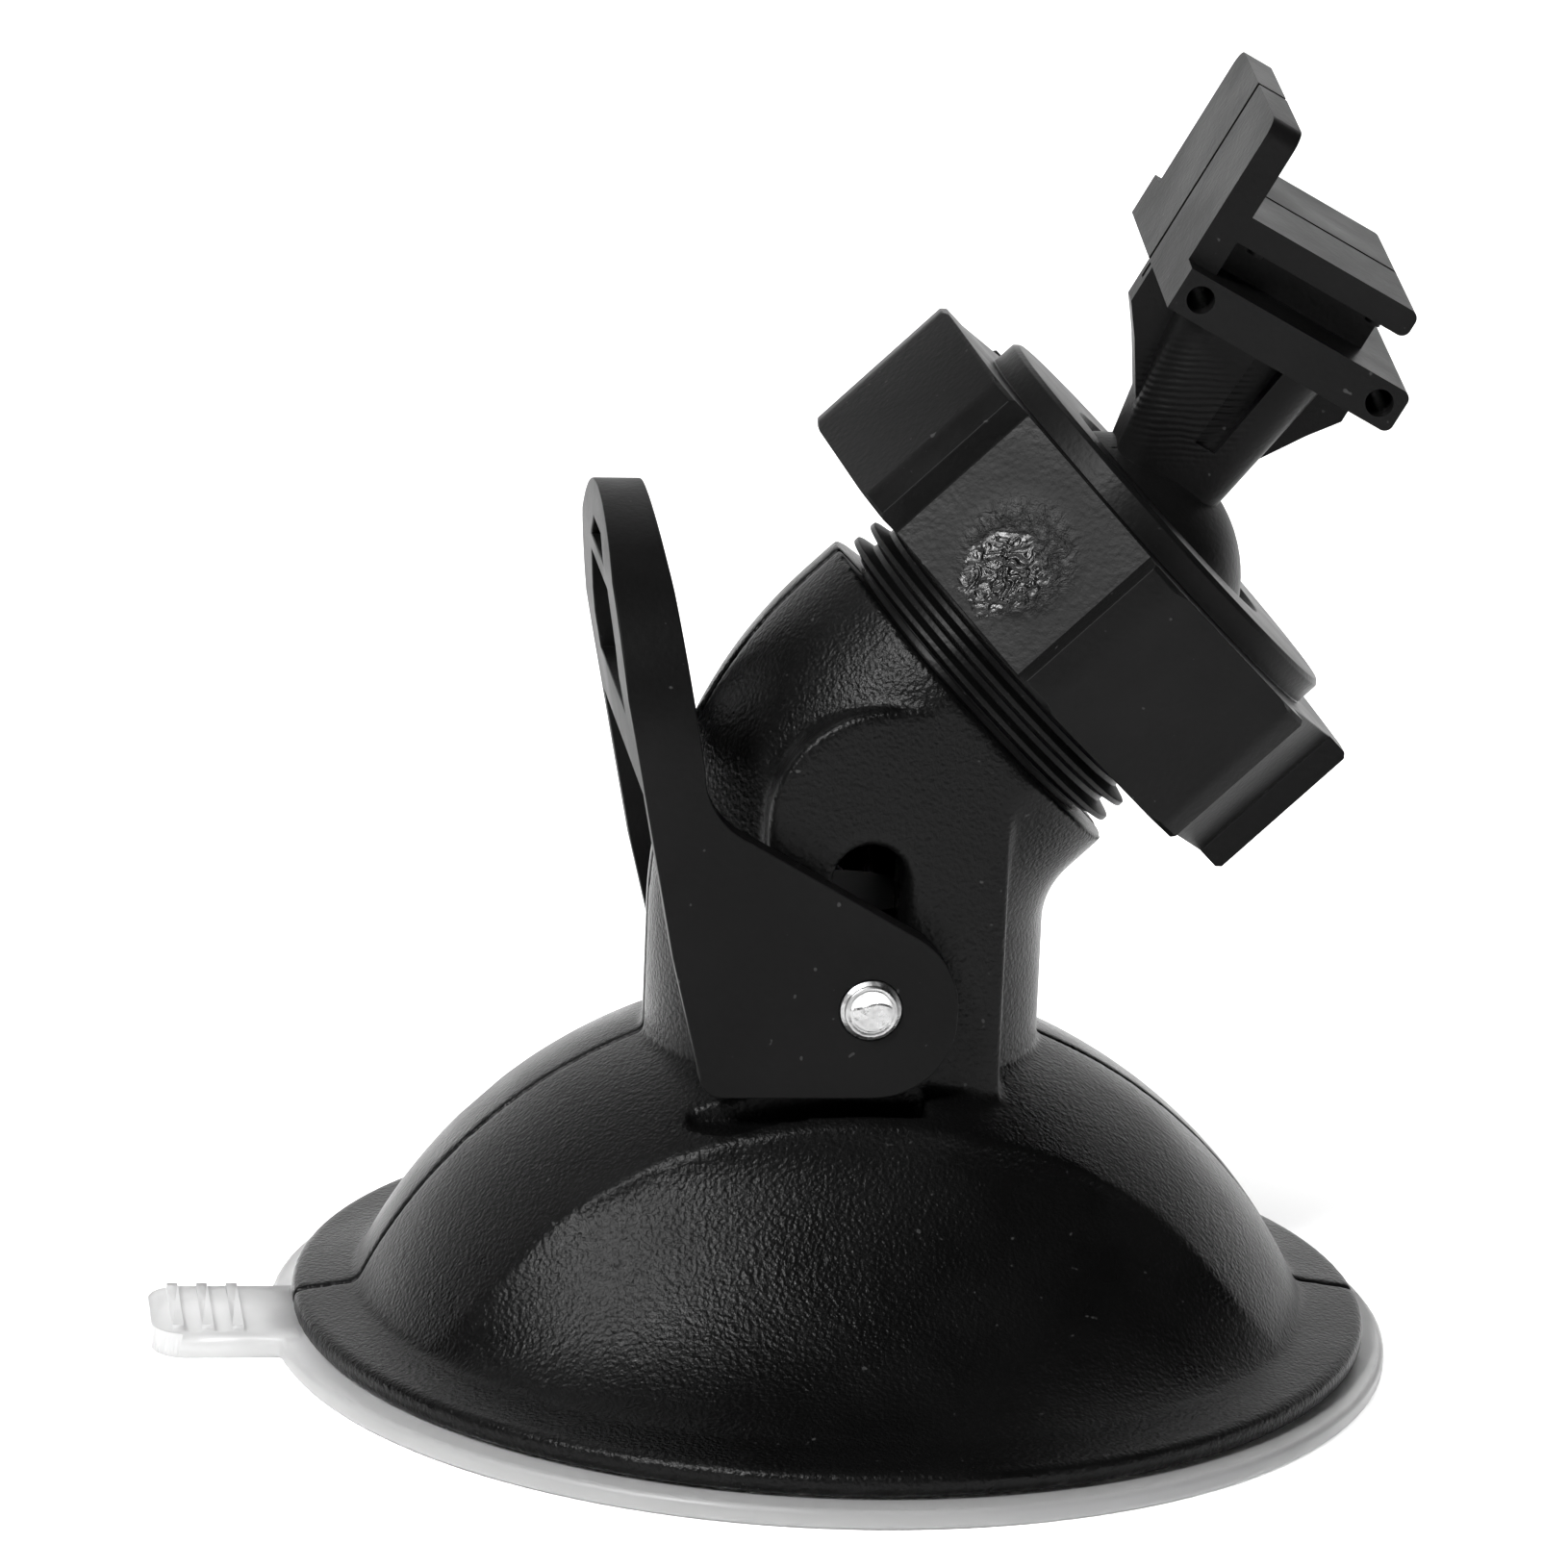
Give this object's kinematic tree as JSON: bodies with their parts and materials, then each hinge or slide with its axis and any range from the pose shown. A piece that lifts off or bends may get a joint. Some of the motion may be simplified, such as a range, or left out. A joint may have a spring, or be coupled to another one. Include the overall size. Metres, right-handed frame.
{
  "type": "suction cup windscreen mount with ball head",
  "caption": "Lever-lock suction cup windscreen mount with a clamped ball joint and a double tee head for a dash camera.",
  "frame": {"origin": "centre of the suction cup's contact plane", "axes": "+Z away from the glass, +X towards the side the neck leans to, the housing halves meet on Y = 0"},
  "size_m": [0.0668, 0.0604, 0.0697],
  "materials": {
    "black_abs": "fine pebble grain",
    "black_nylon": "satin, moulded",
    "clear_pvc": "clear, glossy",
    "zinc_steel": "bright zinc plate",
    "seat_rubber": "matte"
  },
  "bodies": {
    "housing": {"suction_cup": "clear_pvc", "spring_washer": "zinc_steel", "return_spring": "zinc_steel", "housing_front": "black_abs", "housing_rear": "black_abs", "housing_screws": "zinc_steel", "ball_socket": "black_nylon"},
    "puller": {"pull_post": "black_nylon", "lever_pin": "zinc_steel"},
    "lever": {"lever": "black_nylon"},
    "nut": {"clamp_nut": "black_nylon"},
    "swivel": {"ball_seat": "seat_rubber", "pressure_ring": "black_nylon"},
    "bracket": {"ball_bracket": "black_nylon"}
  },
  "joints": [
    {"name": "lever_turn", "type": "hinge", "parent": "puller", "child": "lever", "pos_m": [0, 0, 0.02205], "axis": [0, -1, 0], "range_deg": [0, 78]},
    {"name": "cup_pull", "type": "slide", "parent": "housing", "child": "puller", "axis": [0, 0, 1], "range_m": [0, 0.00466], "deforming": ["suction_cup", "return_spring"]},
    {"name": "nut_turn", "type": "hinge", "parent": "housing", "child": "nut", "pos_m": [0, 0, 0.0303], "axis": [0.7224, 0, 0.6915], "range_deg": [0, 270]},
    {"name": "ball_swivel", "type": "hinge", "parent": "housing", "child": "swivel", "pos_m": [0.01282, 0, 0.04257], "axis": [0.7224, 0, 0.6915], "continuous": true},
    {"name": "ball_tilt", "type": "hinge", "parent": "swivel", "child": "bracket", "pos_m": [0.01282, 0, 0.04257], "axis": [0, 1, 0], "range_deg": [-9.5, 44.5]}
  ],
  "couplings": [
    {"joint": "lever_turn", "follows": "cup_pull", "rad_per_m": 292.1}
  ]
}
